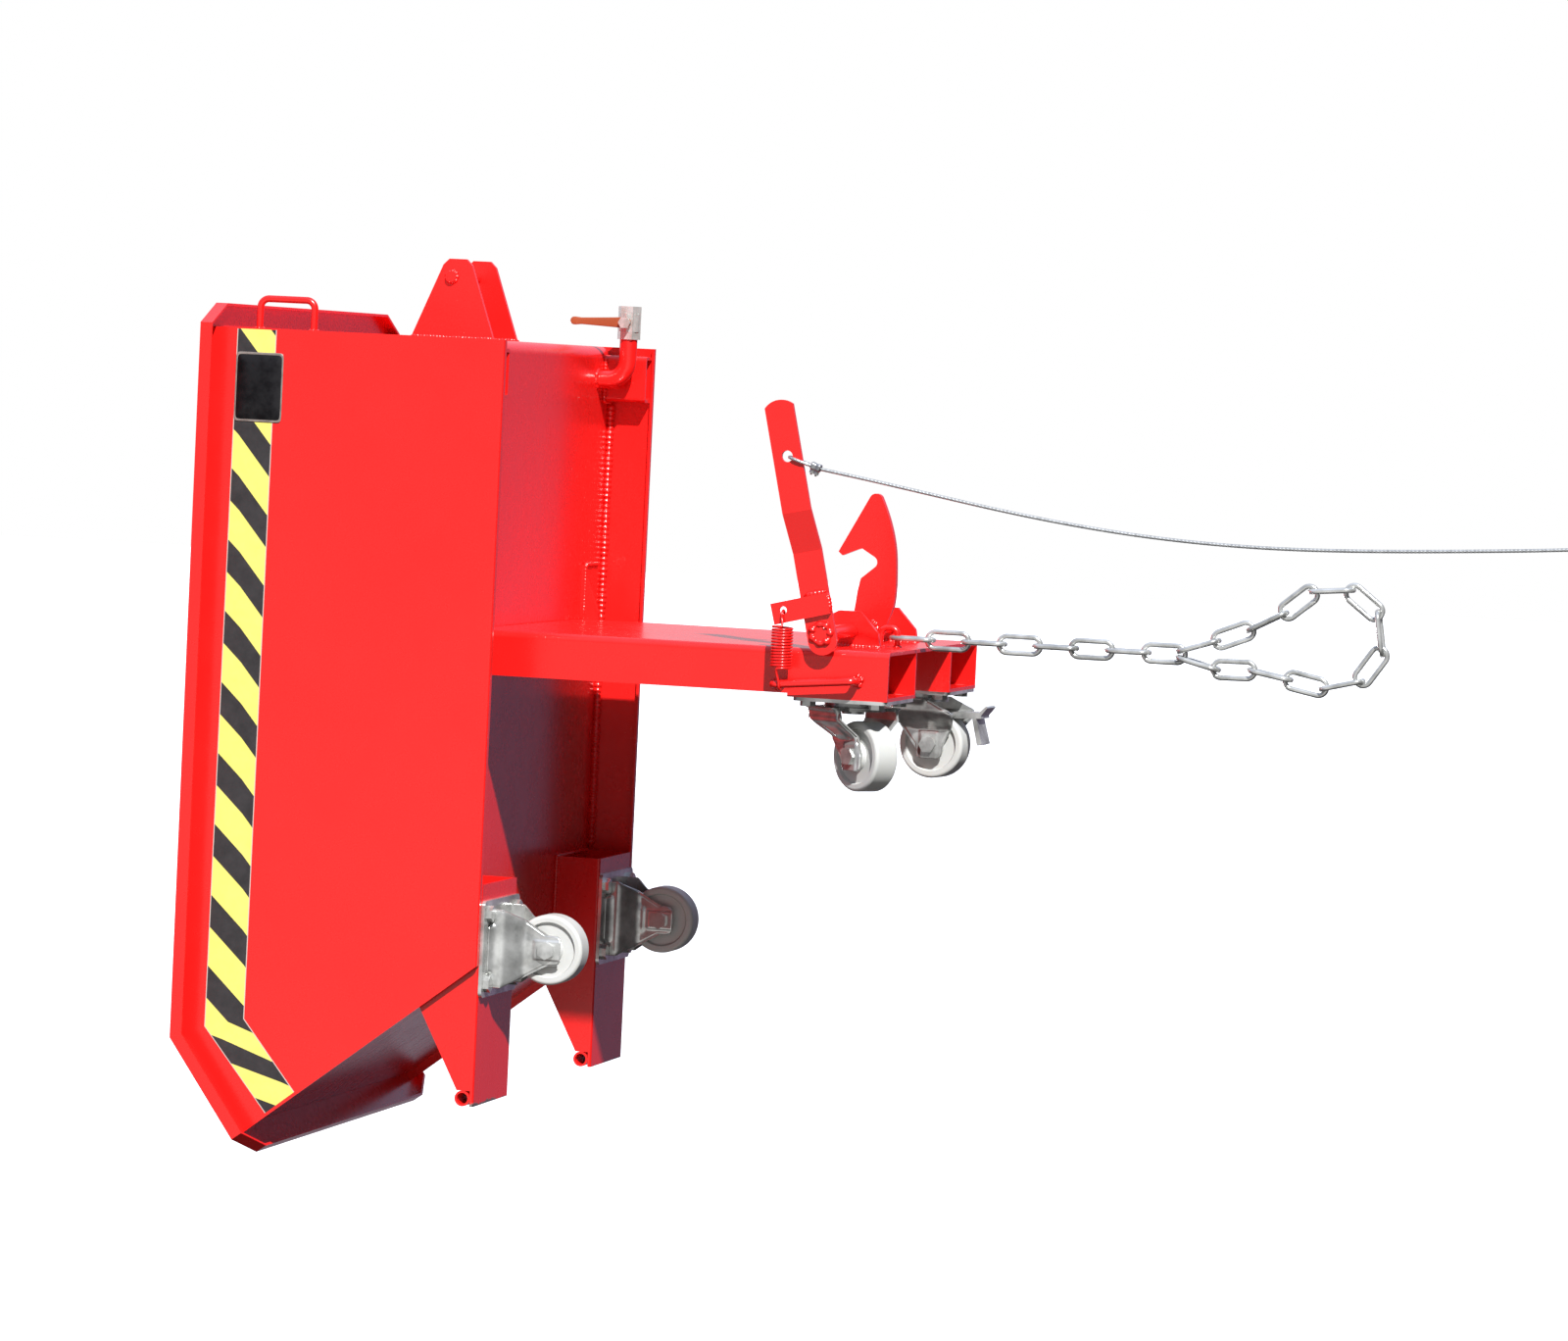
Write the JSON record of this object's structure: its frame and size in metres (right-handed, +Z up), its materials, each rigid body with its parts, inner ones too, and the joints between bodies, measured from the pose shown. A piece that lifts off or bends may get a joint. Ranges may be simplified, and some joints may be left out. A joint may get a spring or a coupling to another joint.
{
  "type": "tipping hopper",
  "caption": "Low steel tipping hopper on casters with lift pockets, a sprung latch with lever and pull rope, a safety chain and a drain valve, shown tipped forward.",
  "frame": {"origin": "midway between the two lift pockets at their rear mouth, on the underside of the roof", "axes": "+X out of the pockets' rear mouth, against the way the hopper tips; +Y to the side away from the lever; +Z up with the frame level"},
  "size_m": [1.6641, 0.684, 1.0335],
  "materials": {
    "red_paint": "gloss traffic-red paint over welded steel sheet",
    "zinc": "zinc-plated steel",
    "nylon": "off-white nylon, lightly worn",
    "nickel": "nickel-plated brass, satin",
    "valve_lever_paint": "brown-red coated steel",
    "spring_steel": "bright spring wire",
    "wire_rope": "stranded steel wire rope",
    "ferrule_metal": "pressed aluminium"
  },
  "bodies": {
    "base_frame": {"base_roof": "red_paint", "pocket_walls": "red_paint", "caster_seats": "red_paint", "hinge_pins": "red_paint", "latch_brackets": "red_paint", "spring_rod": "red_paint", "latch_spring": "spring_steel", "chain_eye": "red_paint", "chain": "zinc", "pull_rope": "wire_rope", "rope_eye": "wire_rope", "rope_loop": "wire_rope", "rope_ferrules": "ferrule_metal", "swivel_plate_near": "zinc", "swivel_plate_far": "zinc", "swivel_races": "zinc", "king_pins": "zinc", "swivel_bolts": "zinc"},
    "hopper": {"side_wall_near": "red_paint", "side_wall_far": "red_paint", "tray": "red_paint", "rim": "red_paint", "foot_near": "red_paint", "foot_far": "red_paint", "nose_tubes": "red_paint", "hinge_doublers": "red_paint", "hinge_ears": "red_paint", "latch_lugs": "red_paint", "catch_pin": "red_paint", "grab_handle": "red_paint", "corner_blocks": "red_paint", "drain_pipe": "red_paint", "valve_body": "nickel", "stem_nut": "nickel", "rigid_bracket_near": "zinc", "rigid_bracket_far": "zinc", "rigid_axles": "zinc", "rigid_bolts": "zinc"},
    "rigid_wheel_near": {"wheel_rigid_near": "nylon", "bush_rigid_near": "zinc"},
    "rigid_wheel_far": {"wheel_rigid_far": "nylon", "bush_rigid_far": "zinc"},
    "swivel_near": {"swivel_fork_near": "zinc", "swivel_axle_near": "zinc"},
    "swivel_far": {"swivel_fork_far": "zinc", "swivel_axle_far": "zinc", "pedal_pin": "zinc"},
    "swivel_wheel_near": {"wheel_swivel_near": "nylon", "bush_swivel_near": "zinc"},
    "swivel_wheel_far": {"wheel_swivel_far": "nylon", "bush_swivel_far": "zinc"},
    "brake_pedal": {"brake_pedal": "zinc"},
    "latch": {"latch_hook": "red_paint", "latch_shaft": "red_paint", "latch_lever": "red_paint", "spring_tab": "red_paint"},
    "valve_lever": {"valve_lever": "valve_lever_paint"}
  },
  "joints": [
    {"name": "hopper_tip", "type": "hinge", "parent": "base_frame", "child": "hopper", "pos_m": [-0.4883, 0, -0.0027], "axis": [0, 1, 0], "range_deg": [0, 90]},
    {"name": "rigid_wheel_near_spin", "type": "hinge", "parent": "hopper", "child": "rigid_wheel_near", "pos_m": [-0.3743, -0.2375, -0.3547], "axis": [0, 1, 0], "continuous": true},
    {"name": "rigid_wheel_far_spin", "type": "hinge", "parent": "hopper", "child": "rigid_wheel_far", "pos_m": [-0.3743, 0.2375, -0.3547], "axis": [0, 1, 0], "continuous": true},
    {"name": "swivel_near_turn", "type": "hinge", "parent": "base_frame", "child": "swivel_near", "pos_m": [-0.055, -0.1575, -0.0517], "axis": [0, 0, 1], "continuous": true},
    {"name": "swivel_far_turn", "type": "hinge", "parent": "base_frame", "child": "swivel_far", "pos_m": [-0.055, 0.1575, -0.0517], "axis": [0, 0, 1], "continuous": true},
    {"name": "swivel_wheel_near_spin", "type": "hinge", "parent": "swivel_near", "child": "swivel_wheel_near", "pos_m": [-0.03424, -0.17315, -0.1167], "axis": [0.6018, 0.7986, 0], "continuous": true},
    {"name": "swivel_wheel_far_spin", "type": "hinge", "parent": "swivel_far", "child": "swivel_wheel_far", "pos_m": [-0.02925, 0.15388, -0.1167], "axis": [0.1392, 0.9903, 0], "continuous": true},
    {"name": "brake_pedal_press", "type": "hinge", "parent": "swivel_far", "child": "brake_pedal", "pos_m": [-0.00351, 0.15026, -0.0807], "axis": [0.1392, 0.9903, 0], "range_deg": [0, 12], "stiffness_Nm_per_rad": 0.3, "springref_deg": -17.19},
    {"name": "latch_turn", "type": "hinge", "parent": "base_frame", "child": "latch", "pos_m": [-0.076, 0, 0.022], "axis": [0, 1, 0], "range_deg": [0, 30], "stiffness_Nm_per_rad": 3, "springref_deg": -34.38, "deforming": ["latch_spring", "pull_rope", "rope_eye", "rope_loop", "rope_ferrules"]},
    {"name": "valve_lever_turn", "type": "hinge", "parent": "hopper", "child": "valve_lever", "pos_m": [-0.4593, 0.239, 0.3643], "axis": [0, 1, 0], "range_deg": [0, 90]}
  ]
}
